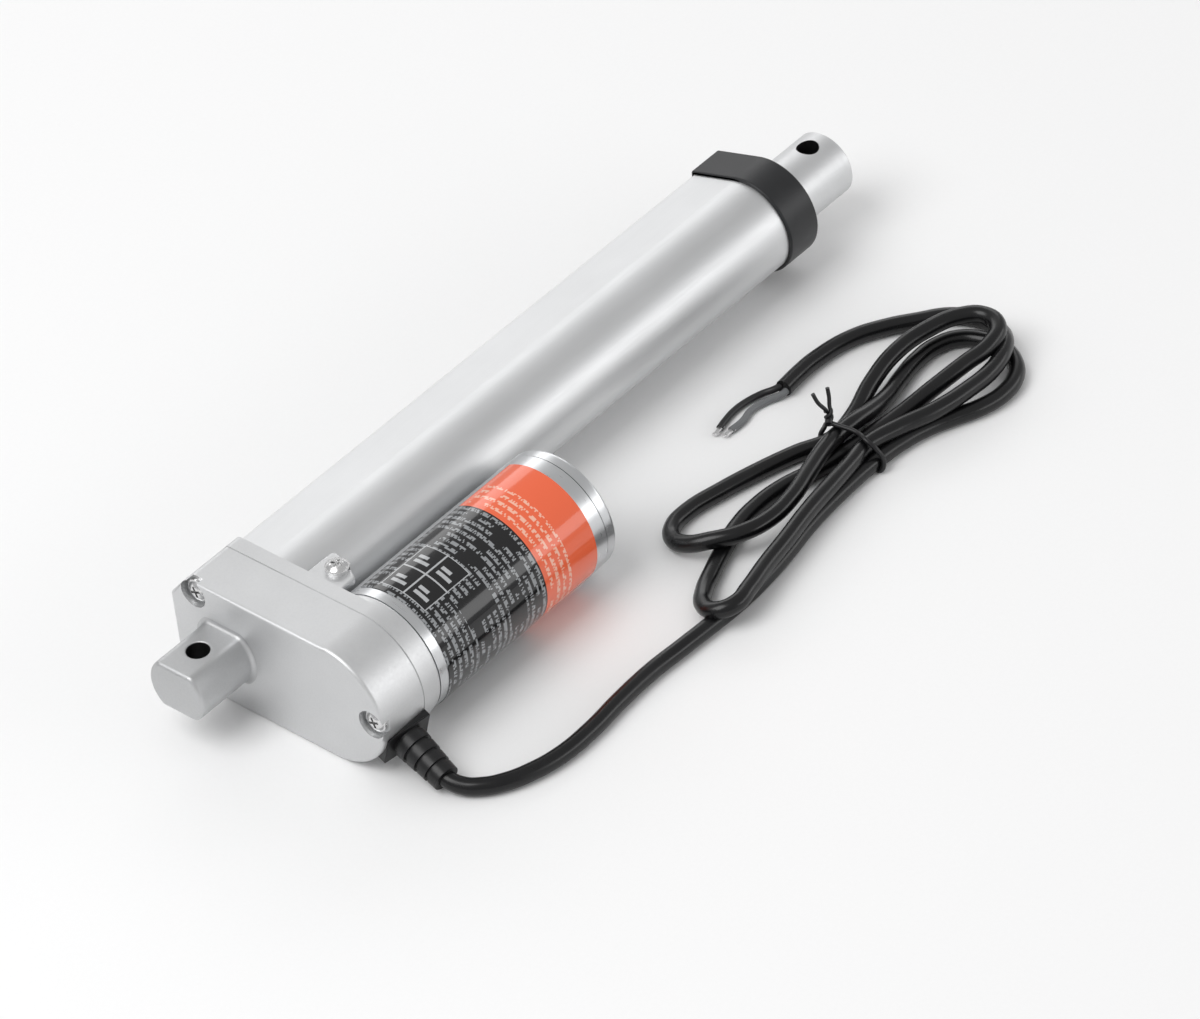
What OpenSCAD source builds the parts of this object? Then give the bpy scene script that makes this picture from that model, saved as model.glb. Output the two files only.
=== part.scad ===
// Linear actuator: D-section tube, side-mounted motor, gearbox, sliding rod and a tied lead.
// X runs from the rear pin to the rod end, Z is up along both pins, the motor is on the -Y side.
// The origin is the centre of the rear pin bore. Millimetres.

/* [Travel] */
// Rod travel from closed to fully out
stroke = 150; // [50:10:300]
// Pin to pin distance closed, less the travel
closed_extra = 105; // [100:1:120]

/* [Pins] */
// Bore of the rear clevis and of the rod end
pin_d = 6.4; // [5:0.1:8.2]
// Rear clevis bar diameter
clevis_d = 19; // [17:0.5:21]
// Rear clevis thickness across its flats
clevis_flats = 15; // [12:0.5:16]

/* [Tube and rod] */
// Rod outside diameter
rod_d = 20; // [18:0.5:20.5]
// Tube outside diameter over its round part
tube_d = 29.2; // [28.6:0.2:31]
// Distance from the rod axis to the tube's flat side
tube_flat_y = 19; // [18:0.5:21]
// Height of the tube's flat side
tube_flat_h = 19.6; // [16:0.2:21]
// Front cap length
cap_len = 12; // [10:0.5:16]

/* [Gearbox] */
// Gearbox height
box_h = 38; // [37:0.5:42]
// Gearbox rear cover length
cover_len = 16; // [15.5:0.5:19]
// Distance between rod axis and motor axis
motor_y = 36; // [35.6:0.2:40]

/* [Motor] */
// Motor can diameter
motor_d = 37.4; // [35:0.2:37.8]
// Motor length beyond the gearbox
motor_len = 71.7; // [66:0.1:84]

/* [Lead] */
// Lead sheath diameter
cord_d = 5; // [4:0.1:5.6]
// Strain relief length
relief_len = 18; // [16:0.5:20]

/* [Hidden] */
$fn = 96;
run = 0.05;              // radial clearance of a running fit
seat = 0.03;             // clearance between fixed pieces that plug together
L = stroke + closed_extra;
floor_z = -box_h/2;
rod_r = rod_d/2;
cord_r = cord_d/2;
tube_r = tube_d/2;
bore_r = tube_r - 2.1;
wall = 2.4;
cover_x = 10;
seam_x = cover_x + cover_len;
gasket_t = 0.4;
front_x = seam_x + 5;    // tube side of the front housing
can_x = seam_x + 7.3;    // motor side of the front housing
can_r = motor_d/2;
can_wall = 1.5;
motor_end = can_x + motor_len;
cap_x1 = L - 15.5;
cap_x0 = cap_x1 - cap_len;
cap_lip = 2;
tube_x1 = cap_x1 - cap_lip - 0.1;
rod_x0 = 62;
rod_tip = L + 7.7;
rod_bore_r = 7;
rod_bore_x1 = L - 20;
nut_x0 = 46;
screw_r = 4.5;
seat_r = 4;
journal_r = 3;
screw_lead = 5;
screw_x1 = L - 29;
brg_x0 = front_x + 0.4;
brg_x1 = brg_x0 + 7;
brg_r = 9.5;
pinion_n = 14;
wheel_n = 26;
small_n = 16;
screw_n = 30;
gear_m = 2*motor_y/(pinion_n + wheel_n + small_n + screw_n);
idler_y = -gear_m*(small_n + screw_n)/2;
backlash = 0.16;
wheel_x = [seam_x - 5.6, seam_x - 1.2];
small_x = [seam_x - 10.3, seam_x - 5.9];
idler_r = 2;
shaft_r = 1.6;
corner_y = tube_flat_y - 0.4;
corner_z = 11.3;
slope_y = 12;
screw_a = [9.7, 15];
screw_b = [-motor_y - 15, 0];
head_r = 3.4;
head_h = 2;
pocket_depth = 2.8;
pocket_r = 4.3;
shank_r = 1.5;
lug_at = [seam_x + 14.2, -14.2];
lug_end = 19.6;
lug_y = [-8.2, -20.4];
lug_z = 11.4;
lug_t = 2.4;
relief_turn = 31.61;
relief_reach = box_h/2 - 0.68;
relief_at = [cover_x + 9.6, -motor_y - relief_reach*cos(relief_turn), -relief_reach*sin(relief_turn)];
relief_tilt = 18;
relief_yaw = -8;
relief_flange = [14.4, 10.4, 2.6];
rib_count = 4;
plug_r = 4.5;
z1 = floor_z + cord_r + 0.05;
relief_dir = [sin(relief_yaw)*cos(relief_tilt), -cos(relief_yaw)*cos(relief_tilt), -sin(relief_tilt)];
tip = relief_at + relief_len*relief_dir;
label_t = 0.14;
// The lead's free stretches, and the hank that the middle of it is folded into
lead_route = [
  relief_at + 3*relief_dir, relief_at + 10*relief_dir, tip,
  [18.4, -73, z1 + 0.25], [21.5, -77.5, z1 + 0.05], [26, -81, z1], [32.5, -84, z1],
  [42, -86.3, z1], [54, -86.6, z1], [67.5, -85.4, z1], [81, -84.9, z1], [92, -85.5, z1], [104.5, -86.2, z1],
  [111, -86, z1]];
hank_h = 10.5;
loop_a = [134, -59.5];
loop_a_r = 10.5;
loop_b = [114.5, -81];
loop_b_r = 7;
loop_c = [229, -76];
loop_c_r = 19;
waist = [182, -72.5];
waist_r = 10.5;
tie_w = 2;
tie_t = 0.9;
tail_route = [
  [244, -66, z1], [241.5, -57.5, z1], [236, -52.3, z1], [228.5, -46.6, z1], [219.5, -41.8, z1],
  [207, -39.4, z1], [199, -39.4, z1], [192, -40, z1]];
core_r = 1;
core_z = floor_z + core_r + 0.12;
black_route = [
  [194, -39.2, z1], [191, -38.2, z1], [187.6, -35.6, core_z], [183, -34, core_z], [178, -33.6, core_z],
  [170, -35, core_z]];
grey_route = [
  [194, -41, z1], [190.6, -41, z1 - 0.7], [186.6, -38.6, core_z], [181, -37.4, core_z], [175.6, -38.4, core_z],
  [171, -38.2, core_z]];
channel_y = [bore_r + 1.5, tube_flat_y - 1.9];
board_x = [48, L - 34];
trip_x = nut_x0 + 4;

// ---- helpers ----
module along_x(x0, x1) {
  translate([x0, 0, 0]) rotate([90, 0, 90]) linear_extrude(x1 - x0) children();
}
module rod_x(x0, x1, r, y = 0, z = 0) {
  translate([x0, y, z]) rotate([0, 90, 0]) cylinder(h = x1 - x0, r = r);
}
module turned_x(y = 0, z = 0) {
  translate([0, y, z]) rotate([0, 90, 0]) rotate([0, 0, 90]) rotate_extrude() children();
}
function tangent(p, r) = let(a = atan2(p[1], p[0]) + acos(r/norm(p))) [r*cos(a), r*sin(a)];
// A convex outline with each corner rounded; points run anticlockwise.
function unit(v) = v/norm(v);
function corner(a, b, c, r) =
  let(u = unit(a - b), v = unit(c - b), h = acos(u*v)/2, d = r/tan(h))
  [b + u*d, b + v*d, b + unit(u + v)*r/sin(h)];
// Radius 0 keeps a corner sharp.
module rounded(pts, rs) {
  n = len(pts);
  cs = [for (i = [0:n-1]) corner(pts[(i+n-1)%n], pts[i], pts[(i+1)%n], rs[i])];
  polygon([for (i = [0:n-1]) each rs[i] > 0 ? [cs[i][0], cs[i][1]] : [pts[i]]]);
  for (i = [0:n-1]) if (rs[i] > 0) translate(cs[i][2]) circle(rs[i]);
}
module tube_outline(grow = 0) {
  r = tube_r + grow;
  y = tube_flat_y + grow;
  z = tube_flat_h/2 + grow*0.7;
  t = tangent([y, z], r);
  circle(r);
  rounded([[y, -z], [y, z], t, [-2, r - 2], [-2, -r + 2], [t[0], -t[1]]], [1, 1, 0, 0, 0, 0]);
}
module box_outline(inset = 0) {
  h = box_h/2 - inset;
  y = corner_y - inset;
  z = corner_z - inset*0.39;
  s = slope_y - inset*0.44;
  translate([-motor_y, 0]) circle(h);
  rounded([[y, -z], [y, z], [s, h], [-motor_y, h], [-motor_y, -h], [s, -h]],
          [1.4, 1.4, 2.6, 0, 0, 2.6]);
}
// Involute tooth outline with backlash; a tooth points along +x.
function rad(d) = d*PI/180;
function inv(a) = tan(a) - rad(a);
function half_deg(n, m, r) =
  let(rp = n*m/2, rb = rp*cos(20), al = r > rb ? acos(rb/r) : 0)
  ((PI*m/2 - backlash)/(2*rp) + inv(20) - inv(al))*180/PI;
module gear_outline(n, m, phase = 0) {
  rp = n*m/2;
  rr = rp - 1.2*m;
  rt = rp + 0.92*m;
  rads = [rr, rp - 0.62*m, rp - 0.3*m, rp, rp + 0.32*m, rp + 0.64*m, rt];
  tooth = [for (i = [0:6]) [rads[i], half_deg(n, m, rads[i])]];
  polygon([for (k = [0:n-1]) each concat(
    [for (i = [0:6]) let(a = phase + 360*k/n - tooth[i][1]) tooth[i][0]*[cos(a), sin(a)]],
    [for (i = [6:-1:0]) let(a = phase + 360*k/n + tooth[i][1]) tooth[i][0]*[cos(a), sin(a)]])]);
}
module cross_head() {
  difference() {
    union() {
      cylinder(h = head_h*0.55, r = head_r);
      translate([0, 0, head_h*0.55]) intersection() {
        cylinder(h = head_h*0.45, r = head_r);
        translate([0, 0, -2.75]) sphere(r = 3.98);
      }
    }
    for (a = [0, 90]) rotate([0, 0, a + 20]) translate([-1.7, -0.38, head_h - 1.2]) cube([3.4, 0.76, 2]);
  }
}
module pan_screw(len) {
  cross_head();
  translate([0, 0, -len]) cylinder(h = len, r = shank_r);
}
// Sweep of a round section along a list of points.
function cross3(a, b) = [a[1]*b[2]-a[2]*b[1], a[2]*b[0]-a[0]*b[2], a[0]*b[1]-a[1]*b[0]];
function seg(p, i) = unit(p[min(i + 1, len(p) - 1)] - p[max(i - 1, 0)]);
function bez(p, i, t) = // Catmull-Rom through the points
  let(a = p[max(i-1, 0)], b = p[i], c = p[i+1], d = p[min(i+2, len(p)-1)])
  0.5*((2*b) + (c - a)*t + (2*a - 5*b + 4*c - d)*t*t + (3*b - a - 3*c + d)*t*t*t);
function smooth(p, k) = concat(
  [for (i = [0:len(p)-2]) for (j = [0:k-1]) bez(p, i, j/k)], [p[len(p)-1]]);
module sweep(path, r, sides = 12) {
  n = len(path);
  pts = [for (i = [0:n-1])
    let(t = seg(path, i), s = unit(cross3(t, [0, 0, 1])), u = cross3(s, t))
    for (k = [0:sides-1]) path[i] + r*(cos(360*k/sides)*s + sin(360*k/sides)*u)];
  faces = concat(
    [[for (k = [0:sides-1]) k]],
    [for (i = [0:n-2]) for (k = [0:sides-1])
      let(a = i*sides + k, b = i*sides + (k+1)%sides) [a, a + sides, b + sides, b]],
    [[for (k = [sides-1:-1:0]) (n-1)*sides + k]]);
  polyhedron(points = pts, faces = faces, convexity = 8);
}

// ---- fixed pieces ----
module rear_clevis() {
  color("silver") difference() {
    union() {
      along_x(-10, cover_x + wall + 1) intersection() {
        circle(clevis_d/2);
        square([clevis_d + 1, clevis_flats], center = true);
      }
      rod_x(cover_x + wall + seat, cover_x + wall + 3, 10.5);
    }
    cylinder(h = clevis_d + 2, r = pin_d/2, center = true);
    rod_x(cover_x + wall - 0.6, cover_x + wall + 4, journal_r + run);
    // softened end
    difference() {
      rod_x(-11, -8.8, 12);
      turned_x() polygon([[0, -12], [clevis_d/2 - 1.2, -12], [clevis_d/2 - 1.2, -10],
        [clevis_d/2, -8.8], [clevis_d/2, -8], [0, -8]]);
    }
  }
}
module screw_pocket(p) {
  along_x(cover_x - 1, cover_x + pocket_depth) translate(p) circle(pocket_r);
}
module gearbox_cover() {
  color("gainsboro") difference() {
    union() {
      difference() {
        along_x(cover_x, seam_x) box_outline();
        along_x(cover_x + wall, seam_x + 1) box_outline(wall);
      }
      for (p = [screw_a, screw_b]) difference() {
        intersection() {
          along_x(cover_x, seam_x) translate(p) circle(pocket_r + 1);
          along_x(cover_x, seam_x) box_outline(0.2);
        }
        rod_x(cover_x + wall, seam_x + 1, gear_m*(screw_n/2 + 1) + 0.4);
        rod_x(cover_x + wall, seam_x + 1, gear_m*(pinion_n/2 + 1) + 0.4, -motor_y, 0);
      }
      rod_x(cover_x + 0.5, cover_x + wall + 2.6, 4.4, idler_y, 0);
    }
    along_x(cover_x - 1, cover_x + wall + 0.001) intersection() {
      circle(clevis_d/2 + seat);
      square([clevis_d + 3, clevis_flats + 2*seat], center = true);
    }
    rod_x(cover_x + 1.6, seam_x, idler_r + seat, idler_y, 0);
    for (p = [screw_a, screw_b]) {
      screw_pocket(p);
      along_x(cover_x, seam_x + 1) translate(p) circle(shank_r + seat);
    }
    relief_hole();
  }
}
module relief_hole() {
  relief_place() translate([0, 0, -8]) cylinder(h = 12, r = plug_r + seat);
}
module gearbox_gasket() {
  color("dimgray") difference() {
    along_x(seam_x, seam_x + gasket_t) box_outline(0.12);
    along_x(seam_x - 1, seam_x + 1) difference() {
      box_outline(wall);
      for (p = [screw_a, screw_b]) translate(p) circle(head_r + 0.6);
    }
    for (p = [screw_a, screw_b]) along_x(seam_x - 1, seam_x + 1) translate(p) circle(shank_r + 0.3);
  }
}
module lug_outline() {
  x = seam_x + lug_end;
  rounded([[seam_x + 4, lug_y[0]], [x, lug_y[0]], [x - 2, -15], [x - 5.2, lug_y[1]], [seam_x + 4, lug_y[1]]],
          [0, 1.5, 2, 1.5, 0]);
}
module gearbox_front() {
  color("gainsboro") difference() {
    union() {
      along_x(seam_x + gasket_t, front_x) box_outline();
      difference() {
        along_x(front_x - 0.5, can_x) translate([-motor_y, 0]) circle(box_h/2 - 0.3);
        rod_x(front_x, can_x + 1, tube_r + 0.3);
      }
      rod_x(front_x - 0.5, brg_x1 + 1.2, bore_r - seat);
      difference() {
        translate([0, 0, lug_z]) linear_extrude(lug_t) lug_outline();
        rod_x(front_x, front_x + 30, tube_r + 0.3);
        rod_x(can_x, can_x + 30, can_r + 0.5, -motor_y, 0);
      }
    }
    // pockets and bores
    rod_x(seam_x, front_x + 30, seat_r + 1.2);
    rod_x(brg_x0 - 0.2, brg_x1 + 2, brg_r + seat);
    rod_x(seam_x, can_x + 1, 3.2, -motor_y, 0);
    rod_x(can_x - 2, can_x + 1, 6.1, -motor_y, 0);
    rod_x(seam_x, seam_x + 3.2, idler_r + seat, idler_y, 0);
    for (p = [screw_a, screw_b]) along_x(seam_x, front_x - 0.8) translate(p) circle(shank_r + seat);
    translate([lug_at[0], lug_at[1], 0]) translate([0, 0, lug_z - 5]) cylinder(h = 20, r = shank_r + seat);
  }
}
module outer_tube() {
  color("silver") difference() {
    along_x(front_x + seat, tube_x1) tube_outline();
    rod_x(front_x - 1, tube_x1 + 1, bore_r);
    // side channel and the slot that joins it to the bore
    along_x(front_x - 1, tube_x1 + 1) translate([channel_y[0], -6]) square([channel_y[1] - channel_y[0], 12]);
    along_x(front_x + 8, tube_x1 - 14) translate([bore_r - 1, -2]) square([channel_y[0] - bore_r + 2, 4]);
  }
}
module front_cap() {
  color("black") difference() {
    along_x(cap_x0, cap_x1) tube_outline(1);
    along_x(cap_x0 - 1, cap_x1 - cap_lip) tube_outline(seat);
    rod_x(cap_x1 - 5, cap_x1 + 1, rod_r + 2 + seat);
  }
}
module rod_wiper() {
  color("black") difference() {
    rod_x(cap_x1 - cap_lip, cap_x1 + 0.3, rod_r + 2);
    rod_x(cap_x1 - 5, cap_x1 + 1, rod_r + run);
  }
}
module guide_bush() {
  color("ivory") difference() {
    rod_x(tube_x1 - 11, tube_x1, bore_r - seat);
    rod_x(tube_x1 - 12, tube_x1 + 1, rod_r + run);
  }
}
module bearing_outer() {
  color("gray") difference() {
    rod_x(brg_x0, brg_x1, brg_r);
    rod_x(brg_x0 - 1, brg_x1 + 1, 7.2);
  }
}
module idler_pin() {
  color("silver") rod_x(cover_x + 1.8, seam_x + 3, idler_r, idler_y, 0);
}
module magnets() {
  color("dimgray") along_x(can_x + 14, can_x + 52) translate([-motor_y, 0]) difference() {
    circle(can_r - can_wall - seat);
    circle(12.4);
    for (a = [0, 180]) rotate(a) polygon([[0, 0], [25, -11], [25, 11]]);
  }
}
module motor_can() {
  color("silver") difference() {
    rod_x(can_x, motor_end - 4, can_r, -motor_y, 0);
    rod_x(can_x + 2, motor_end, can_r - can_wall, -motor_y, 0);
    rod_x(can_x - 1, can_x + 3, shaft_r + run, -motor_y, 0);
  }
}
module motor_end_cap() {
  color("silver") difference() {
    union() {
      turned_x(-motor_y, 0) intersection() {
        translate([0, motor_end - 3.7]) square([can_r - 0.15, 3.7]);
        union() {
          translate([0, motor_end - 3.7]) square([can_r - 1.35, 3.7]);
          translate([0, motor_end - 3.7]) square([can_r - 0.15, 2.5]);
          translate([can_r - 1.35, motor_end - 1.2]) circle(1.2);
        }
      }
      rod_x(motor_end - 6.2, motor_end - 3, can_r - can_wall - seat, -motor_y, 0);
    }
    rod_x(motor_end - 7, motor_end - 1.5, shaft_r + run, -motor_y, 0);
    for (s = [-1, 1]) translate([motor_end - 0.6, -motor_y - 3, s*9.5 - 1.5]) cube([2, 6, 3]);
  }
}
module motor_label() {
  color("black") along_x(can_x + 3.2, motor_end - 8.5) translate([-motor_y, 0]) difference() {
    circle(can_r + seat + label_t);
    circle(can_r + seat);
    polygon([[0, 0], 40*[cos(-28), sin(-28)], 40*[cos(15), sin(15)], 40*[cos(58), sin(58)]]);
  }
}
module brush_plate() {
  color("tan") difference() {
    rod_x(motor_end - 8.2, motor_end - 6.3, can_r - can_wall - seat, -motor_y, 0);
    rod_x(motor_end - 9, motor_end, 3, -motor_y, 0);
  }
}
module brushes() {
  color("dimgray") for (s = [-1, 1])
    translate([motor_end - 13.5, -motor_y - 2, s > 0 ? 4.9 : -12.9]) cube([5.28, 4, 8]);
}
module limit_board() {
  color("green") translate([board_x[0], channel_y[1] - 1.1, -4.5]) cube([board_x[1] - board_x[0], 1, 9]);
}
module limit_switches() {
  color("black") for (x = [trip_x - 1, trip_x + stroke - 7])
    translate([x, channel_y[1] - 1.12 - 1.3, 1.2]) cube([8, 1.3, 3.2]);
}
module cover_screws() {
  color("lightgray") for (p = [screw_a, screw_b])
    translate([cover_x + pocket_depth, p[0], p[1]]) rotate([0, -90, 0]) pan_screw(front_x - cover_x - pocket_depth - 1.2);
}
module lug_screw() {
  color("lightgray") translate([lug_at[0], lug_at[1], lug_z + lug_t]) pan_screw(lug_t + 2);
}

// ---- moving pieces ----
module rod() {
  color("lightgray") difference() {
    union() {
      rod_x(rod_x0, rod_tip - 0.9, rod_r);
      turned_x() polygon([[0, rod_tip - 1], [rod_r, rod_tip - 1], [rod_r, rod_tip - 0.9],
        [rod_r - 0.9, rod_tip], [0, rod_tip]]);
    }
    rod_x(rod_x0 - 1, rod_bore_x1, rod_bore_r);
    translate([L, 0, 0]) cylinder(h = rod_d + 2, r = pin_d/2, center = true);
  }
}
module drive_nut() {
  color("goldenrod") difference() {
    union() {
      rod_x(nut_x0, rod_x0 - seat, bore_r - 0.45);
      rod_x(rod_x0 - 1, rod_x0 + 9, rod_bore_r - seat);
    }
    rod_x(nut_x0 - 1, rod_x0 + 10, screw_r + run);
    translate([trip_x - 2 - seat, bore_r - 3.4, -3]) cube([4 + 2*seat, 6, 6]);
  }
}
module trip_arm() {
  color("white") {
    translate([trip_x - 2, bore_r - 3.3, -1.6]) cube([4, 4.4, 3.2]);
    translate([trip_x - 2, bore_r + 1, -1.6]) cube([4, channel_y[1] - 1.12 - 0.5 - bore_r - 1, 2.4]);
  }
}
module lead_screw() {
  color("lightgray") difference() {
    union() {
      rod_x(cover_x + wall - 0.4, small_x[0], journal_r);
      rod_x(small_x[0], brg_x1 + 0.2, seat_r);
      rod_x(brg_x1 + 0.2, brg_x1 + 1.4, 5);
      rod_x(brg_x1 + 1.4, screw_x1, screw_r);
    }
    for (x = [brg_x1 + 6 : screw_lead : screw_x1 - 3]) difference() {
      rod_x(x, x + 1.4, screw_r + 1);
      rod_x(x - 1, x + 3, screw_r - 0.7);
    }
  }
}
module screw_gear() {
  color("ivory") difference() {
    along_x(small_x[0], small_x[1]) gear_outline(screw_n, gear_m);
    rod_x(small_x[0] - 1, small_x[1] + 1, seat_r + seat);
  }
}
module bearing_inner() {
  color("silver") difference() {
    rod_x(brg_x0, brg_x1, 6.8);
    rod_x(brg_x0 - 1, brg_x1 + 1, seat_r + seat);
  }
}
module idler_gear() {
  color("ivory") difference() {
    union() {
      along_x(wheel_x[0], wheel_x[1]) translate([idler_y, 0]) gear_outline(wheel_n, gear_m);
      along_x(small_x[0], wheel_x[0]) translate([idler_y, 0]) gear_outline(small_n, gear_m, 180/small_n);
    }
    rod_x(small_x[0] - 1, wheel_x[1] + 1, idler_r + run, idler_y, 0);
  }
}
module motor_pinion() {
  color("goldenrod") difference() {
    along_x(wheel_x[0], wheel_x[1]) translate([-motor_y, 0]) gear_outline(pinion_n, gear_m, 180/pinion_n);
    rod_x(wheel_x[0] - 1, wheel_x[1] + 1, shaft_r + seat, -motor_y, 0);
  }
}
module motor_shaft() {
  color("silver") rod_x(wheel_x[0] - 0.6, motor_end - 1.8, shaft_r, -motor_y, 0);
}
module armature() {
  color("dimgray") difference() {
    rod_x(can_x + 15, can_x + 51, 11.8, -motor_y, 0);
    rod_x(can_x + 14, can_x + 52, shaft_r + seat, -motor_y, 0);
    for (a = [0:72:288]) translate([can_x + 14, -motor_y, 0]) rotate([a, 0, 0]) translate([0, -0.9, 7]) cube([38, 1.8, 6]);
  }
}
module windings() {
  color("chocolate") for (x = [can_x + 11, can_x + 51.1]) difference() {
    rod_x(x, x + 3.9, 10.4, -motor_y, 0);
    rod_x(x - 1, x + 5, shaft_r + seat, -motor_y, 0);
  }
}
module commutator() {
  color("peru") difference() {
    rod_x(motor_end - 15, motor_end - 8.6, 4.6, -motor_y, 0);
    rod_x(motor_end - 16, motor_end - 8, shaft_r + seat, -motor_y, 0);
  }
}

// ---- lead ----
module relief_place() {
  translate(relief_at) rotate([0, 0, relief_yaw]) rotate([90 + relief_tilt, 0, 0]) children();
}
module strain_relief() {
  f = relief_flange[2];
  step = (relief_len - f)/rib_count;
  color("black") difference() {
    union() {
      difference() {
        relief_place() {
          translate([-relief_flange[0]/2, -relief_flange[1]/2, -2]) cube([relief_flange[0], relief_flange[1], f + 2]);
          translate([0, 0, f - 0.2]) cylinder(h = relief_len - f + 0.2, r1 = 4.3, r2 = 3.3);
          for (i = [0:rib_count-1]) translate([0, 0, f + step*(i + 0.3)])
            cylinder(h = step*0.7, r1 = 5 - 0.3*i, r2 = 4.85 - 0.3*i);
        }
        rod_x(cover_x - 1, can_x, box_h/2 + seat, -motor_y, 0);
      }
      relief_place() translate([0, 0, -5]) cylinder(h = 6, r = plug_r);
    }
    relief_place() translate([0, 0, -6]) cylinder(h = relief_len + 10, r = cord_r + seat);
  }
}
module lead_cord() { color("black") sweep(smooth(lead_route, 2), cord_r); }
// Two round ends joined by their outer tangents.
module taper(a, ra, b, rb) {
  d = b - a;
  f = atan2(d[1], d[0]);
  t = acos((ra - rb)/norm(d));
  translate(a) circle(ra);
  translate(b) circle(rb);
  polygon([a + ra*[cos(f - t), sin(f - t)], b + rb*[cos(f - t), sin(f - t)],
    b + rb*[cos(f + t), sin(f + t)], a + ra*[cos(f + t), sin(f + t)]]);
}
module hank_outline(grow = 0) {
  taper(loop_a, loop_a_r + grow, waist, waist_r + grow);
  taper(loop_b, loop_b_r + grow, waist, waist_r + grow);
  taper(waist, waist_r + grow, loop_c, loop_c_r + grow);
}
module tie_slab() {
  translate([waist[0] - tie_w/2, waist[1] - 30, floor_z - 1]) cube([tie_w, 60, hank_h + 4]);
}
module hank_core() {
  translate([0, 0, floor_z + tie_t]) linear_extrude(hank_h - 2*tie_t) hank_outline(-tie_t);
}
module cord_hank() {
  color("black") difference() {
    translate([0, 0, floor_z]) linear_extrude(hank_h) hank_outline();
    difference() {
      tie_slab();
      hank_core();
    }
  }
}
module cord_tie() {
  color("dimgray") {
    difference() {
      intersection() {
        tie_slab();
        translate([0, 0, floor_z]) linear_extrude(hank_h + 0.4) hank_outline(0.4);
      }
      hank_core();
    }
    for (a = [-14, 12]) translate([waist[0], waist[1] + waist_r - 1, floor_z + hank_h - 0.6])
      rotate([-8, a, 0]) cylinder(h = 10.5, r = 0.7);
  }
}
module cord_tail() { color("black") sweep(smooth(tail_route, 2), cord_r); }
module core_black() { color("black") sweep(smooth(black_route, 2), core_r, 8); }
module core_grey() { color("gray") sweep(smooth(grey_route, 2), core_r, 8); }

rear_clevis();
gearbox_cover();
gearbox_gasket();
gearbox_front();
outer_tube();
front_cap();
rod_wiper();
guide_bush();
rod();
drive_nut();
trip_arm();
lead_screw();
screw_gear();
bearing_outer();
bearing_inner();
idler_gear();
idler_pin();
motor_pinion();
motor_shaft();
armature();
windings();
commutator();
magnets();
motor_can();
motor_end_cap();
motor_label();
brush_plate();
brushes();
limit_board();
limit_switches();
cover_screws();
lug_screw();
strain_relief();
lead_cord();
cord_hank();
cord_tie();
cord_tail();
core_black();
core_grey();
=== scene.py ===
# Linear actuator with a side motor, gearbox, sliding rod and a tied lead.
import math

import bmesh
import bpy
from mathutils import Matrix, Vector


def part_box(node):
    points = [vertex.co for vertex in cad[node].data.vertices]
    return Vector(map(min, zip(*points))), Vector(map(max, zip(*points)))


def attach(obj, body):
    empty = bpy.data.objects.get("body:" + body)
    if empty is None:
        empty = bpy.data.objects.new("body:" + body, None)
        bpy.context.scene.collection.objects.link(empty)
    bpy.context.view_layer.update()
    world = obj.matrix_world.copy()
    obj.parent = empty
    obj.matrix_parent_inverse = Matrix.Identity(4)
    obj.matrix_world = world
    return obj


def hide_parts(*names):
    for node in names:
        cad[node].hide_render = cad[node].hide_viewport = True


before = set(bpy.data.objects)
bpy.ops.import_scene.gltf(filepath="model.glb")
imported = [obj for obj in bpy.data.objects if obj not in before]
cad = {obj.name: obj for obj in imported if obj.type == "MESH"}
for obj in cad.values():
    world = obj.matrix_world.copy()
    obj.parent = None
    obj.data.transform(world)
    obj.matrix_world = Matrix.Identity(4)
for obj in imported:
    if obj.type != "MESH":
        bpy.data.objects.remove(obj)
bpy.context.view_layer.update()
mm = 0.001


def inMetres(points):
    return [Vector(p) * mm for p in points]


def addObject(name, data):
    obj = bpy.data.objects.new(name, data)
    bpy.context.scene.collection.objects.link(obj)
    return obj


def settle(obj, body, slotName, material, *replaced):
    obj.data.materials.clear()
    obj.data.materials.append(material)
    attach(obj, body)
    if replaced:
        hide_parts(*replaced)
    return obj


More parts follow.
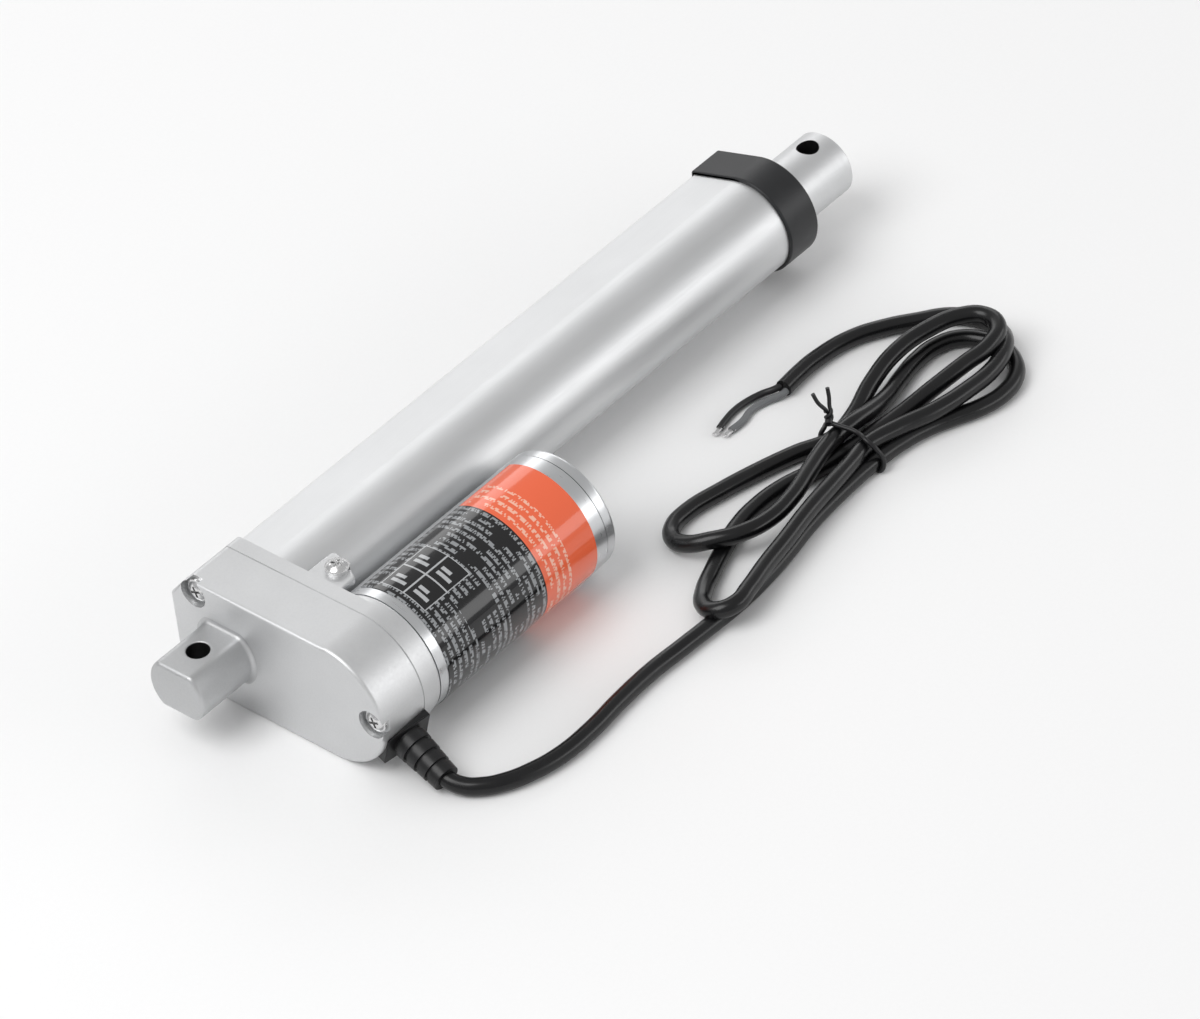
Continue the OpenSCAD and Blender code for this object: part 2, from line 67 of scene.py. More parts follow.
class Shader:

    def __init__(self, name):
        self.material = bpy.data.materials.new(name)
        self.material.use_nodes = True
        self.tree = self.material.node_tree
        self.surface = self.tree.nodes["Principled BSDF"]

    def add(self, kind, values=None, **settings):
        made = self.tree.nodes.new("ShaderNode" + kind)
        for key, value in settings.items():
            setattr(made, key, value)
        for key, value in (values or {}).items():
            self.put(made.inputs[key], value)
        return made

    def put(self, socket, value):
        if isinstance(value, bpy.types.NodeSocket):
            self.tree.links.new(value, socket)
        else:
            socket.default_value = value

    def base(self, **values):
        for key, value in values.items():
            self.put(self.surface.inputs[key.replace("_", " ")], value)

    def math(self, operation, a, b=0.0):
        made = self.add("Math", operation=operation)
        for socket, value in zip(made.inputs, (a, b)):
            self.put(socket, value)
        return made.outputs[0]

    def place(self, scale=(1, 1, 1)):
        where = self.add("TexCoord").outputs["Object"]
        return self.add("Mapping", {"Vector": where, "Scale": scale}).outputs[0]

    def noise(self, scale, stretch=(1, 1, 1), detail=3.0, rough=0.55):
        place = self.place(stretch)
        made = self.add("TexNoise", {"Vector": place, "Scale": scale, "Detail": detail, "Roughness": rough})
        return made.outputs["Fac"]

    def ramp(self, value, stops):
        made = self.add("ValToRGB", {"Fac": value})
        points = made.color_ramp.elements
        while len(points) < len(stops):
            points.new(0.5)
        for point, (where, colour) in zip(points, stops):
            point.position = where
            point.color = (*colour, 1)
        return made.outputs["Color"]

    def span(self, value, low, high, toLow, toHigh):
        limits = {"From Min": low, "From Max": high, "To Min": toLow, "To Max": toHigh}
        made = self.add("MapRange", {"Value": value, **limits})
        return made.outputs["Result"]

    def mix(self, factor, a, b):
        made = self.add("Mix", data_type="RGBA")
        self.put(made.inputs["Factor"], factor)
        for socket, value in ((made.inputs[6], a), (made.inputs[7], b)):
            self.put(socket, (*value, 1) if isinstance(value, tuple) else value)
        return made.outputs[2]

    def bump(self, height, strength, distance=0.0002):
        made = self.add("Bump", {"Height": height, "Strength": strength, "Distance": distance})
        self.put(self.surface.inputs["Normal"], made.outputs[0])
        return self


camera = dict(
    place=(-0.9130, -1.0439, 1.2048), right=(0.6423, -0.7616, -0.0864), up=(0.5369, 0.3666, 0.7598),
    back=(-0.5470, -0.5344, 0.6444), lens=209.7, sensor=36.0, near=0.05, far=30.0,
)


def makeCamera():
    data = bpy.data.cameras.new("camera")
    data.lens, data.sensor_width, data.sensor_fit = camera["lens"], camera["sensor"], "HORIZONTAL"
    data.clip_start, data.clip_end = camera["near"], camera["far"]
    obj = addObject("camera", data)
    x = Vector(camera["right"]).normalized()
    z = Vector(camera["back"]).normalized()
    y = z.cross(x).normalized()
    x = y.cross(z)
    turn = Matrix((x, y, z)).transposed().to_4x4()
    obj.matrix_world = Matrix.Translation(camera["place"]) @ turn
    bpy.context.scene.camera = obj


makeCamera()
print("camera ready")


finishes = dict(
    castColour=(0.66, 0.665, 0.67), castRough=0.50,
    tubeColour=(0.68, 0.685, 0.69), tubeRough=0.48,
    rodColour=(0.66, 0.665, 0.67), rodRough=0.50,
    zincColour=(0.62, 0.63, 0.64), zincRough=0.30,
    blackSheath=(0.0045, 0.0045, 0.005), sheathRough=0.27,
)
holeShadeEdge = (0.03, 0.15)  # millimetres past the bore's wall where its painted shade fades


def metalFinish(name, colour, rough, streak=None, grain=900.0, bump=0.04, spread=0.08, tone=0.06,
                bore=None):
    s = Shader(name)
    cloud = s.noise(24.0)
    fine = s.noise(grain, streak or (1, 1, 1), detail=4.0)
    dark = tuple(c * (1 - tone) for c in colour)
    light = tuple(min(1, c * (1 + tone)) for c in colour)
    base = s.ramp(cloud, [(0.3, dark), (0.7, light)])
    if bore:  # painted shade inside a cross hole and on a thin rim round it, so it reads dark
        place = s.add("SeparateXYZ", {"Vector": s.place((1000, 1000, 1000))}).outputs
        x = s.math("SUBTRACT", place[0], bore["x"])
        squares = s.math("ADD", s.math("MULTIPLY", x, x), s.math("MULTIPLY", place[1], place[1]))
        apart = s.math("SQRT", squares)
        near, far = (bore["radius"] + past for past in holeShadeEdge)
        base = s.mix(s.span(apart, near, far, 1.0, 0.0), base, bore["film"])
    s.base(Base_Color=base, Metallic=1.0,
           Roughness=s.span(fine, 0.25, 0.75, rough - spread, rough + spread))
    return s.bump(fine, bump, 0.0001).material


def plasticFinish(name, colour, rough=0.45, bump=0.12, grain=1400.0, tone=0.25, shine=0.4):
    s = Shader(name)
    fine = s.noise(grain, detail=2.0)
    cloud = s.noise(60.0)
    dark = tuple(c * (1 - tone) for c in colour)
    light = tuple(min(1, c * (1 + tone)) for c in colour)
    s.base(Base_Color=s.ramp(cloud, [(0.3, dark), (0.7, light)]),
           Roughness=s.span(cloud, 0.3, 0.7, rough - 0.05, rough + 0.05), Specular_IOR_Level=shine)
    return s.bump(fine, bump, 0.0001).material


castMetal = metalFinish("castMetal", finishes["castColour"], finishes["castRough"], grain=1500.0,
                        bump=0.10)
# the bore's film colour is painted shade, darkening the cross hole's wall and a thin rim round it
clevisMetal = metalFinish("clevisMetal", (0.54, 0.545, 0.55), 0.50, grain=1300.0, bump=0.07,
                          bore=dict(x=0.0, radius=3.2, film=(0.07, 0.07, 0.07)))
tubeMetal = metalFinish("tubeMetal", finishes["tubeColour"], finishes["tubeRough"], (0.05, 1, 1), 1500.0,
                        0.012, 0.04, 0.03)
# the bore's film colour is painted shade in the rod eye's cross hole and on its rim
rodMetal = metalFinish("rodMetal", finishes["rodColour"], finishes["rodRough"], (1, 0.1, 0.1), 1800.0, 0.015,
                       0.05, bore=dict(x=255.0, radius=3.2, film=(0.07, 0.07, 0.07)))
zincMetal = metalFinish("zincMetal", finishes["zincColour"], finishes["zincRough"], (1, 0.2, 0.2), 900.0,
                        0.015, 0.04)
screwMetal = metalFinish("screwMetal", (0.70, 0.70, 0.70), 0.22, None, 2500.0, 0.08)
steelInside = metalFinish("steelInside", (0.50, 0.51, 0.53), 0.28, (0.1, 1, 1), 1800.0)
bronzeMetal = metalFinish("bronzeMetal", (0.62, 0.42, 0.18), 0.32, None, 1600.0)
copperMetal = metalFinish("copperMetal", (0.70, 0.33, 0.17), 0.30, (1, 12, 12), 500.0, 0.3)
ironMetal = metalFinish("ironMetal", (0.13, 0.13, 0.14), 0.5, (12, 1, 1), 600.0, 0.2)
tinMetal = metalFinish("tinMetal", (0.66, 0.66, 0.66), 0.30, None, 4000.0, 0.4)
capPlastic = plasticFinish("capPlastic", (0.016, 0.0165, 0.018), 0.40)
blackPlastic = plasticFinish("blackPlastic", (0.025, 0.025, 0.027), 0.45)
gasketSheet = plasticFinish("gasketSheet", (0.46, 0.465, 0.47), 0.50, 0.2)
whitePlastic = plasticFinish("whitePlastic", (0.80, 0.77, 0.68), 0.42, tone=0.05)
sealRubber = plasticFinish("sealRubber", (0.018, 0.018, 0.019), 0.6)
reliefRubber = plasticFinish("reliefRubber", (0.008, 0.008, 0.0085), 0.36)
tiePlastic = plasticFinish("tiePlastic", (0.010, 0.010, 0.011), 0.36, 0.3, 2600.0)
boardGreen = plasticFinish("boardGreen", (0.03, 0.16, 0.07), 0.35, tone=0.15)
darkCore = plasticFinish("darkCore", (0.018, 0.018, 0.019), 0.30)
paleCore = plasticFinish("paleCore", (0.15, 0.155, 0.16), 0.32, tone=0.08)
sheath = plasticFinish("sheath", finishes["blackSheath"], finishes["sheathRough"], 0.05, 500.0)


lead = dict(
    diameter=5.0, length=0.890, exit=(19.2, -54.4, -10.5),
    route=[
        (19.2, -54.4, -10.5), (18.4, -60.5, -12.5), (17.3, -68, -15), (18.4, -73, -16.2), (21.5, -77.5, -16.4),
        (26, -81, -16.45), (32.5, -84, -16.45), (42, -86.3, -16.45), (54, -86.6, -16.45), (67.5, -85.4, -16.45),
        (81, -84.9, -16.45), (92, -85.5, -16.45), (104.5, -86.2, -16.45), (114.5, -86.6, -16.45),
        (126, -86, -16.45), (138, -84.4, -16.45), (151, -82, -16.45), (166, -80.6, -16.45), (182, -80.3, -16.45),
        # widest right loop, on the floor
        (193, -81.4, -16.45), (201.5, -83.5, -16.45), (209, -86.8, -16.45), (216.5, -90.2, -16.45),
        (224.5, -91.6, -16.45), (231.8, -90, -16.45), (237, -85.6, -16.45), (239.8, -79.5, -16.45),
        (239.5, -72.5, -16.45), (236.2, -66.6, -16.45), (230, -63.4, -16.45), (222, -62.9, -16.45),
        (213, -64.4, -16.3), (204, -66.8, -15.4), (195, -68.2, -13.6), (188.5, -68.4, -12.4), (182, -68.2, -12.2),
        # over the other strands to the far left loop
        (174, -69.4, -11.7), (164, -72, -11.45), (153, -74.9, -11.45), (142.5, -75.6, -11.45),
        (133.5, -73, -11.5), (127.3, -67.5, -12.4), (124.3, -61.5, -14.4), (125, -56, -16), (129.2, -52.2, -16.45),
        (137, -51.3, -16.45), (147.5, -53.2, -16.45), (159.5, -56.3, -16.45), (172, -60.4, -16.45),
        (182, -64.7, -16.45),
        # up and round the top right loop
        (192.5, -64, -15.8), (205, -61, -13.4), (217, -60.4, -10.8), (228, -63.2, -8.9), (236.5, -67.6, -8.1),
        (240.5, -73.2, -8), (238.8, -79, -8.1), (231.5, -81.6, -8.7), (222.4, -79.8, -10.2), (210.7, -76.8, -13.1),
        (200, -74.4, -15.6), (191, -72.7, -16.4), (182, -71.6, -16.45),
        # to the near left loop, which comes back along the top of the first run
        (169, -69.2, -16.45), (158.5, -66.3, -16.45), (148.5, -65.5, -16.45), (139, -66.6, -16.45),
        (130, -69.4, -16.45), (121.5, -72.6, -16.45), (113.3, -76.3, -16), (107.6, -81.2, -14.6),
        (106.6, -86.6, -12.9), (110.6, -89.8, -11.8), (117.5, -89, -11.45), (127, -86.8, -11.45),
        (138, -84.8, -11.45), (151, -82.2, -11.45), (165, -80.2, -11.6), (174, -78.6, -12.2), (182, -77.3, -12.5),
        # right again and out as the tail
        (192.5, -79.8, -12.3), (203.5, -84.2, -11.7), (215, -86.4, -11.45), (226.5, -86.6, -11.45),
        (235, -83.8, -11.7), (240.6, -79.6, -13), (244.6, -73.4, -15.3), (246.1, -66, -16.4),
        (242.8, -58.6, -16.45), (236, -52.5, -16.45), (228.5, -46.6, -16.45), (219.5, -41.8, -16.45),
        (207, -39.4, -16.45), (199, -39.4, -16.45), (192, -40, -16.45),
    ],
)


def tubeCurve(name, points, radius, steps=6, closed=False):
    data = bpy.data.curves.new(name, "CURVE")
    data.dimensions = "3D"
    data.bevel_depth, data.bevel_resolution, data.resolution_u = radius, 6, steps
    data.use_fill_caps = True
    spline = data.splines.new("BEZIER")
    spline.bezier_points.add(len(points) - 1)
    for knot, point in zip(spline.bezier_points, points):
        knot.co = point
        knot.handle_left_type = knot.handle_right_type = "AUTO"
    spline.use_cyclic_u = closed
    return addObject(name, data)


cordPiece = tubeCurve("leadSheath", inMetres(lead["route"]), lead["diameter"] / 2 * mm)
settle(cordPiece, "base", "cord_sheath", sheath, "lead_cord", "cord_hank", "cord_tail")

cores = dict(
    radius=1.0, tinRadius=0.385, tinLength=3.2, leans=(-0.16, 0.10, 0.28), shorter=0.12, spread=2.4, bulge=0.1,
    dark=[(194.5, -39.2, -16), (191, -38.2, -16.6), (187.6, -35.6, -17.5), (183, -34, -17.85), (178, -33.6, -17.9),
          (173.5, -34.2, -17.9), (170, -35, -17.9)],
    pale=[(194.5, -40.8, -16.6), (190.6, -40.6, -17.3), (186.6, -38.6, -17.85), (181, -37.4, -17.9),
          (175.6, -38.4, -17.9), (171, -38.2, -17.9)],
)


def makeCore(name, route, slotName, material, node):
    points = inMetres(route)
    core = tubeCurve(name, points, cores["radius"] * mm, 8)
    settle(core, "base", slotName, material, node)
    along = (points[-1] - points[-2]).normalized()
    tips = []
    side = Vector((-along.y, along.x, 0))
    for k, lean in enumerate(cores["leans"]):  # loose strands, tinned, each a little shorter
        reach = cores["tinLength"] * (1 - cores["shorter"] * k)
        end = points[-1] + (along + side * lean).normalized() * reach * mm
        start = points[-1] - along * mm + side * lean * cores["spread"] * mm
        middle = (points[-1] + end) / 2 + side * cores["bulge"] * mm
        tips.append([start, middle, end])
    data = bpy.data.curves.new(name + "Tip", "CURVE")
    data.dimensions = "3D"
    data.bevel_depth, data.bevel_resolution, data.use_fill_caps = cores["tinRadius"] * mm, 3, True
    for line in tips:
        spline = data.splines.new("BEZIER")
        spline.bezier_points.add(2)
        for knot, point in zip(spline.bezier_points, line):
            knot.co = point
            knot.handle_left_type = knot.handle_right_type = "AUTO"
    tip = settle(addObject(name + "Tip", data), "base", slotName, tinMetal)
    return [core, tip]


corePieces = makeCore("darkCore", cores["dark"], "core_dark", darkCore, "core_black")
corePieces += makeCore("paleCore", cores["pale"], "core_pale", paleCore, "core_grey")

tie = dict(
    x=181.4, wire=0.7, sway=0.6, swayStep=2.1,
    ring=[(-61.5, -16.6), (-62.6, -13.2), (-65.6, -9.4), (-69.8, -9), (-74.6, -9.2), (-78.6, -9.4), (-81.6, -11.6),
          (-83.3, -15), (-83, -17.9), (-79.6, -18.3), (-72, -18.3), (-64.4, -18.3), (-62, -18)],
    root=(-65.2, -9.2), ends=((-1, (-2.6, -62.4, 0.9)), (1, (2.2, -63.6, 0.4))), endWire=0.574,
    twist=0.75, rise=4.2, steps=8, bend=(0.4, 0.2),
    knot=((-1.4, -66.2, -8.9), (0, -65.2, -8.3), (1.4, -64.2, -8.9)), knotWire=1.1,
)


def makeTie():
    x = tie["x"]
    ring = [(x + tie["sway"] * math.sin(tie["swayStep"] * k), y, z) for k, (y, z) in enumerate(tie["ring"])]
    band = tubeCurve("tieBand", inMetres(ring), tie["wire"] * mm, 8, closed=True)
    pieces = [settle(band, "base", "tie_plastic", tiePlastic, "cord_tie")]
    root = Vector((x, *tie["root"])) * mm
    for number, (sign, (aside, y, z)) in enumerate(tie["ends"], 1):
        line = []
        for k in range(tie["steps"] + 1):  # one turn about each other, then apart
            t = k / tie["steps"]
            turn = 2 * math.pi * t
            twist = sign * tie["twist"]
            line.append(root + Vector((twist * math.cos(turn), twist * math.sin(turn), tie["rise"] * t)) * mm)
        top = Vector((x + aside, y, z)) * mm
        middle = (line[-1] + top) / 2 + Vector((tie["bend"][0] * sign, tie["bend"][1], 0)) * mm
        end = tubeCurve("tieEnd%d" % number, line + [middle, top], tie["endWire"] * mm, 6)
        pieces.append(settle(end, "base", "tie_plastic", tiePlastic))
    knotLine = inMetres([(x + aside, y, z) for aside, y, z in tie["knot"]])
    knot = tubeCurve("tieKnot", knotLine, tie["knotWire"] * mm)
    pieces.append(settle(knot, "base", "tie_plastic", tiePlastic))
    return pieces


tiePieces = makeTie()
print("lead, cores and tie ready")


softening = dict(weld=2e-6, flat=0.4, smooth=30)  # metres, then degrees


def softened(name, source, width, pick, material, slotName, segments=4, mesh=None):
    bm = bmesh.new()
    bm.from_mesh(mesh or cad[source].data)
    bmesh.ops.remove_doubles(bm, verts=bm.verts, dist=softening["weld"])
    flat = math.radians(softening["flat"])
    bmesh.ops.dissolve_limit(bm, angle_limit=flat, verts=bm.verts, edges=bm.edges)
    weights = bm.edges.layers.float.new("bevel_weight_edge")
    for edge in bm.edges:
        if len(edge.link_faces) != 2:
            continue
        angle = math.degrees(edge.calc_face_angle(0))
        a, b = (v.co / mm for v in edge.verts)
        amount = pick(a, b, angle)
        if amount:
            edge[weights] = amount
        edge.smooth = angle < softening["smooth"]
    for face in bm.faces:
        face.smooth = True
    mesh = bpy.data.meshes.new(name)
    bm.to_mesh(mesh)
    bm.free()
    rough = addObject(name + "Rough", mesh)
    bevel = rough.modifiers.new("round", "BEVEL")
    bevel.limit_method, bevel.width, bevel.segments = "WEIGHT", width * mm, segments
    bevel.use_clamp_overlap, bevel.miter_outer = False, "MITER_ARC"
    weight = rough.modifiers.new("weight", "WEIGHTED_NORMAL")
    weight.keep_sharp = True
    seen = rough.evaluated_get(bpy.context.evaluated_depsgraph_get())
    final = bpy.data.meshes.new_from_object(seen)
    bpy.data.objects.remove(rough)
    return settle(addObject(name, final), "base", slotName, material, source)


casting = dict(
    rear=10.0, sharp=40, rim=1.0, screws=((9.7, 15), (-51, 0)), screwClear=5.6, clevisClear=10.5,
    frontRim=0.7, frontFace=33.2, motorY=-36, motorClear=18,
    lugTop=13.7, lugFace=33.4, lugSharp=60, lugShare=0.5,
)


def coverEdges(a, b, angle):  # rim of the rear face, clear of the screws and the clevis
    middle = (a + b) / 2
    if any(math.hypot(middle.y - y, middle.z - z) < casting["screwClear"] for y, z in casting["screws"]):
        return 0
    atRear = max(a.x, b.x) < casting["rear"] + 0.05
    clear = math.hypot(middle.y, middle.z) > casting["clevisClear"]
    return 1 if atRear and clear and angle > casting["sharp"] else 0


def frontEdges(a, b, angle):  # rim of the front face, clear of the motor, and the lug's top
    middle = (a + b) / 2
    clear = math.hypot(middle.y - casting["motorY"], middle.z) > casting["motorClear"]
    if min(a.x, b.x) > casting["frontFace"] and clear and angle > casting["sharp"]:
        return 1
    onLug = middle.z > casting["lugTop"] and middle.x > casting["lugFace"]
    return casting["lugShare"] if onLug and angle > casting["lugSharp"] else 0


softened("coverShell", "gearbox_cover", casting["rim"], coverEdges, castMetal, "cast_alloy")
softened("frontHousing", "gearbox_front", casting["frontRim"], frontEdges, castMetal, "cast_alloy")


clevis = dict(
    bar=9.5, flat=7.5, soften=60.0, endRound=1.2, rootFillet=1.3, into=0.6,
    around=96, round=7, endRings=(3.0, 0.4),
    hole=3.2, holeEdge=0.4, holeClear=0.1, face=7, sharp=50, drillSides=64, drillLength=30,
)


def makeClevis():
    low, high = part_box("rear_clevis")
    start, root = low[0] / mm, casting["rear"]

    def ring(bm, x, inset):
        loop = []
        for k in range(clevis["around"]):
            turn = 2 * math.pi * k / clevis["around"]
            flat = (clevis["flat"] - inset) / max(1e-6, abs(math.sin(turn)))
            bar = clevis["bar"] - inset
            reach = bar * (1 + (bar / flat) ** clevis["soften"]) ** (-1 / clevis["soften"])
            loop.append(bm.verts.new(Vector((x, reach * math.cos(turn), reach * math.sin(turn))) * mm))
        return loop

    bm = bmesh.new()
    r, f, n = clevis["endRound"], clevis["rootFillet"], clevis["round"]
    turns = [k / n * math.pi / 2 for k in range(n + 1)]
    stations = [(start, r + more) for more in clevis["endRings"]]
    stations += [(start + r * (1 - math.cos(turn)), r * (1 - math.sin(turn))) for turn in turns]
    stations += [(root - f + f * math.sin(turn), -f * (1 - math.cos(turn))) for turn in turns]
    stations.append((root + clevis["into"], -f))
    rings = [ring(bm, x, inset) for x, inset in stations]
    for first, second in zip(rings, rings[1:]):
        for k in range(len(first)):
            m = (k + 1) % len(first)
            bm.faces.new((first[k], first[m], second[m], second[k]))
    bm.faces.new(rings[0])
    bm.faces.new(rings[-1])
    bmesh.ops.recalc_face_normals(bm, faces=bm.faces)
    mesh = bpy.data.meshes.new("clevisBar")
    bm.to_mesh(mesh)
    bm.free()
    bar = addObject("clevisBar", mesh)
    bm = bmesh.new()
    hole = clevis["hole"] * mm
    bmesh.ops.create_cone(bm, cap_ends=True, segments=clevis["drillSides"], radius1=hole, radius2=hole,
                          depth=clevis["drillLength"] * mm)
    drillMesh = bpy.data.meshes.new("clevisDrill")
    bm.to_mesh(drillMesh)
    bm.free()
    drill = addObject("clevisDrill", drillMesh)
    cut = bar.modifiers.new("hole", "BOOLEAN")
    cut.operation, cut.solver, cut.object = "DIFFERENCE", "EXACT", drill
    seen = bar.evaluated_get(bpy.context.evaluated_depsgraph_get())
    drilled = bpy.data.meshes.new_from_object(seen)
    bpy.data.objects.remove(bar)
    bpy.data.objects.remove(drill)
    return drilled


def clevisEdges(a, b, angle):
    middle = (a + b) / 2
    atHole = math.hypot(middle.x, middle.y) < clevis["hole"] + clevis["holeClear"]
    return 1 if atHole and abs(middle.z) > clevis["face"] and angle > clevis["sharp"] else 0


softened("rearClevis", "rear_clevis", clevis["holeEdge"], clevisEdges, clevisMetal, "clevis_metal",
         segments=3, mesh=makeClevis())


cap = dict(rim=0.6, sharp=40, inside=14.9, wedge=14)


def capEdges(a, b, angle):
    middle = (a + b) / 2
    inside = math.hypot(middle.y, middle.z) < cap["inside"] and middle.y < cap["wedge"]
    return 0 if angle < cap["sharp"] or inside else 1


softened("frontCap", "front_cap", cap["rim"], capEdges, capPlastic, "cap_plastic")


relief = dict(rim=0.3, sharp=45, shortest=2)


def reliefEdges(a, b, angle):
    return 1 if angle > relief["sharp"] and (a - b).length > relief["shortest"] else 0


softened("strainRelief", "strain_relief", relief["rim"], reliefEdges, reliefRubber, "relief_rubber", segments=2)
print("castings ready")


label = dict(
    axis=-36.0, radius=18.7, black=(0.006, 0.006, 0.0065), orange=(0.80, 0.135, 0.055),
    pale=(0.88, 0.66, 0.52), grey=(0.26, 0.27, 0.28), line=(0.42, 0.43, 0.44), bandStart=76.0,
    word=4.6, shift=1.37, strokeGap=0.38,
    greyRows=dict(pitch=2.25, fill=0.56, seed=2.0, gap=0.10, letter=0.34), greyFrom=19.0,
    paleRows=dict(pitch=2.5, fill=0.5, seed=5.0, gap=0.16, letter=0.4), paleFrom=21.0, paleX=(77.6, 86.0),
    paleInk=0.62,
    # bars: low end, high end, and how much shorter the bar is
    boxes=dict(x=(39.0, 48.0, 57.0), around=(24.6, 32.4, 40.2), line=0.26, inset=1.5,
               bars=((2.2, 3.4, 0), (4.2, 5.4, 1.6))),
    blank=((20.5, 26.0, 58.5, 64.5), (44.0, 52.0, 47.5, 58.0), (34.5, 39.5, 59.0, 63.0),
           (54.0, 62.0, 61.5, 68.0)),
)


def makeLabel():
    s = Shader("printedLabel")
    place = s.add("SeparateXYZ", {"Vector": s.place((1000, 1000, 1000))}).outputs
    x = place[0]
    angle = s.math("ARCTAN2", place[2], s.math("SUBTRACT", place[1], label["axis"]))
    around = s.math("MULTIPLY", angle, label["radius"])  # millimetres round the can, from +Y up
    wrap = s.math("MULTIPLY", s.math("LESS_THAN", around, 0.0), 2 * math.pi * label["radius"])
    around = s.math("ADD", around, wrap)

    def between(value, low, high):
        return s.math("MULTIPLY", s.math("GREATER_THAN", value, low), s.math("LESS_THAN", value, high))

    def either(a, b):
        return s.math("MAXIMUM", a, b)

    def without(a, b):
        return s.math("MULTIPLY", a, s.math("SUBTRACT", 1.0, b))

    def randomCell(a, b, seed):
        cell = s.add("CombineXYZ", {"X": a, "Y": b, "Z": seed}).outputs[0]
        return s.add("TexWhiteNoise", {"Vector": cell}, noise_dimensions="3D").outputs["Value"]

    def rows(pitch, fill, seed, gap, letter):
        line = s.math("FLOOR", s.math("DIVIDE", x, pitch))
        within = s.math("FRACT", s.math("DIVIDE", x, pitch))
        upper = s.math("GREATER_THAN", within, fill / 2)
        inLine = s.math("LESS_THAN", within, fill)
        shifted = s.math("ADD", around, s.math("MULTIPLY", line, label["shift"]))
        cell = s.math("FLOOR", s.math("DIVIDE", shifted, letter))
        half = s.math("ADD", line, s.math("MULTIPLY", upper, 0.5))
        stroke = s.math("GREATER_THAN", randomCell(cell, half, seed), label["strokeGap"])
        wordCell = s.math("FLOOR", s.math("DIVIDE", shifted, label["word"]))
        word = s.math("GREATER_THAN", randomCell(wordCell, line, seed + 3), gap)
        return s.math("MULTIPLY", s.math("MULTIPLY", stroke, word), inLine)

    def area(x0, x1, u0, u1):
        return s.math("MULTIPLY", between(x, x0, x1), between(around, u0, u1))

    # four framed boxes with plain bars, in place of printing
    boxes = label["boxes"]
    lines, bars, edge, inset = None, None, boxes["line"], boxes["inset"]
    covered = area(boxes["x"][0], boxes["x"][-1], boxes["around"][0], boxes["around"][-1])
    for x0, x1 in zip(boxes["x"], boxes["x"][1:]):
        for u0, u1 in zip(boxes["around"], boxes["around"][1:]):
            inner = area(x0 + edge, x1 - edge, u0 + edge, u1 - edge)
            frameLine = s.math("SUBTRACT", area(x0, x1, u0, u1), inner)
            lines = frameLine if lines is None else either(lines, frameLine)
            for low, high, shorter in boxes["bars"]:
                bar = area(x0 + low, x0 + high, u0 + inset, u1 - inset - shorter)
                bars = bar if bars is None else either(bars, bar)
    clear = either(covered, s.math("LESS_THAN", around, label["greyFrom"]))
    for u0, u1, x0, x1 in label["blank"]:
        clear = either(clear, area(x0, x1, u0, u1))
    black = s.math("LESS_THAN", x, label["bandStart"])
    greyInk = without(s.math("MULTIPLY", rows(**label["greyRows"]), black), clear)
    paleInk = s.math("MULTIPLY", rows(**label["paleRows"]), between(x, *label["paleX"]))
    paleInk = s.math("MULTIPLY", paleInk, s.math("GREATER_THAN", around, label["paleFrom"]))
    colour = s.mix(black, label["orange"], label["black"])
    colour = s.mix(s.math("MULTIPLY", paleInk, label["paleInk"]), colour, label["pale"])
    colour = s.mix(greyInk, colour, label["grey"])
    colour = s.mix(either(lines, bars), colour, label["line"])
    film = s.noise(300.0, (0.3, 1, 1))
    s.base(Base_Color=colour, Roughness=s.span(film, 0.3, 0.7, 0.14, 0.20), Specular_IOR_Level=0.2,
           Coat_Weight=0.7, Coat_Roughness=0.06)
    return s.bump(film, 0.04, 0.0001).material


labelFilm = makeLabel()
print("label ready")


coats = {
    tubeMetal: ["outer_tube"],
    rodMetal: ["rod"],
    zincMetal: ["motor_can", "motor_end_cap"],
    screwMetal: ["cover_screws", "lug_screw"],
    steelInside: ["lead_screw", "bearing_outer", "bearing_inner", "idler_pin", "motor_shaft"],
    bronzeMetal: ["drive_nut", "motor_pinion", "idler_gear"],
    copperMetal: ["windings", "commutator"],
    ironMetal: ["armature", "magnets", "brushes"],
    gasketSheet: ["gearbox_gasket"],
    blackPlastic: ["brush_plate", "limit_switches"],
    whitePlastic: ["guide_bush", "trip_arm", "screw_gear"],
    sealRubber: ["rod_wiper"],
    boardGreen: ["limit_board"],
    labelFilm: ["motor_label"],
}
for material, names in coats.items():
    for name in names:
        if not cad[name].material_slots:
            cad[name].data.materials.append(material)
        for slot in cad[name].material_slots:
            slot.link = "OBJECT"
            slot.material = material


studio = dict(
    middle=(0.12, -0.03), floor=-19.05, size=6.0, paper=(0.90, 0.90, 0.90), fleck=(0.885, 0.885, 0.885),
)


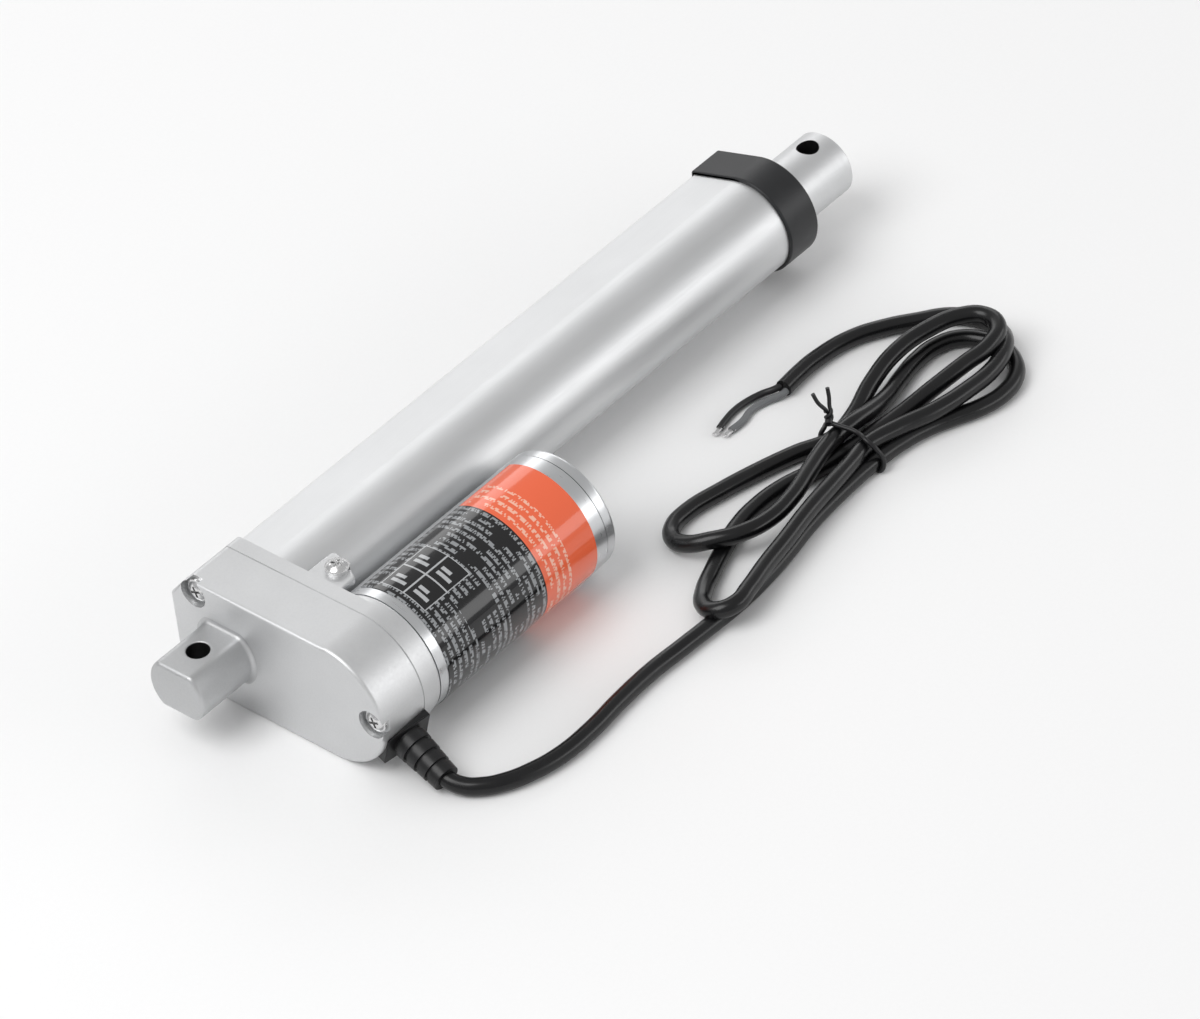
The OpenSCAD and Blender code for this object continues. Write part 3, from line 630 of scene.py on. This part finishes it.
def makeFloor():
    bm = bmesh.new()
    bmesh.ops.create_grid(bm, x_segments=2, y_segments=2, size=studio["size"] / 2)
    mesh = bpy.data.meshes.new("paperFloor")
    bm.to_mesh(mesh)
    bm.free()
    floor = addObject("paperFloor", mesh)
    floor.location = (*studio["middle"], studio["floor"] * mm)
    s = Shader("paper")
    grain = s.noise(900.0)
    s.base(Base_Color=s.ramp(grain, [(0.2, studio["fleck"]), (0.8, studio["paper"])]), Roughness=0.8)
    mesh.materials.append(s.material)


lights = [
    # name, place, width, height, power; all aim at the studio's middle
    ("leftStrip", (0.94, 1.06, 0.66), 1.9, 0.55, 5.6),
    ("rightStrip", (0.94, -1.20, 0.42), 1.9, 0.45, 6.2),
    ("topFill", (-0.70, 0.20, 1.23), 1.0, 1.0, 12.5),
]
sky = dict(horizon=(0.60, 0.60, 0.61, 1), zenith=(0.66, 0.66, 0.66, 1), top=0.8, strength=0.80)


def makeLights():
    aim = Vector((*studio["middle"], 0))
    for name, place, width, height, power in lights:
        data = bpy.data.lights.new(name, "AREA")
        data.shape, data.size, data.size_y, data.energy = "RECTANGLE", width, height, power
        lamp = addObject(name, data)
        lamp.location = place
        lamp.rotation_euler = (aim - Vector(place)).to_track_quat("-Z", "Y").to_euler()
    world = bpy.data.worlds.new("studio")
    bpy.context.scene.world = world
    world.use_nodes = True
    tree = world.node_tree
    back = tree.nodes["Background"]
    way = tree.nodes.new("ShaderNodeTexCoord").outputs["Generated"]
    split = tree.nodes.new("ShaderNodeSeparateXYZ")
    tree.links.new(way, split.inputs[0])
    shade = tree.nodes.new("ShaderNodeValToRGB")
    tree.links.new(split.outputs["Z"], shade.inputs[0])
    stops = shade.color_ramp.elements
    stops[0].position, stops[0].color = 0.0, sky["horizon"]
    stops[1].position, stops[1].color = sky["top"], sky["zenith"]
    tree.links.new(shade.outputs[0], back.inputs["Color"])
    back.inputs["Strength"].default_value = sky["strength"]
    bpy.context.scene.view_settings.view_transform = "Standard"


makeFloor()
makeLights()
print("floor and lights ready")
